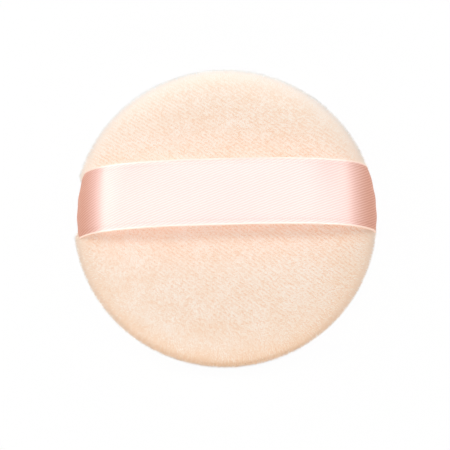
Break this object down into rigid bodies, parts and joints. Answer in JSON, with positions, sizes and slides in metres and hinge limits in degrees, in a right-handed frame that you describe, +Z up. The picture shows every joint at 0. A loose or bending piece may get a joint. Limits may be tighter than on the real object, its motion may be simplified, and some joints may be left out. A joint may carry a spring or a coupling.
{
  "type": "powder puff",
  "caption": "Round velour powder puff with a foam core and a satin ribbon across its face as a finger strap, for putting on loose or pressed powder.",
  "frame": {"origin": "middle of the flat on the application face, on the surface that the puff lies on", "axes": "+Z up through the face with the ribbon, +X along the ribbon, +Y towards the side of the pad that the ribbon is set off to"},
  "size_m": [0.072, 0.0724, 0.0204],
  "materials": {
    "velour": "short peach velour pile",
    "satin": "pale pink satin with a woven edge",
    "foam": "open-cell foam",
    "thread": "spun sewing thread"
  },
  "bodies": {
    "pad": {"application_cover": "velour", "foam_core": "foam", "rim_needle_thread": "thread", "rim_bobbin_thread": "thread", "ribbon_tack_left": "thread", "ribbon_tack_right": "thread", "closing_thread": "thread"},
    "face": {"face_cover": "velour"},
    "ribbon": {"ribbon_band": "satin"}
  },
  "joints": [
    {"name": "face_press", "type": "slide", "parent": "pad", "child": "face", "axis": [0, 0, -1], "range_m": [0, 0.004], "stiffness_N_per_m": 200, "deforming": ["face_cover", "foam_core"]},
    {"name": "ribbon_lift", "type": "slide", "parent": "pad", "child": "ribbon", "axis": [0, 0, 1], "range_m": [-0.005, 0.006], "stiffness_N_per_m": 4, "deforming": ["ribbon_band"]}
  ]
}
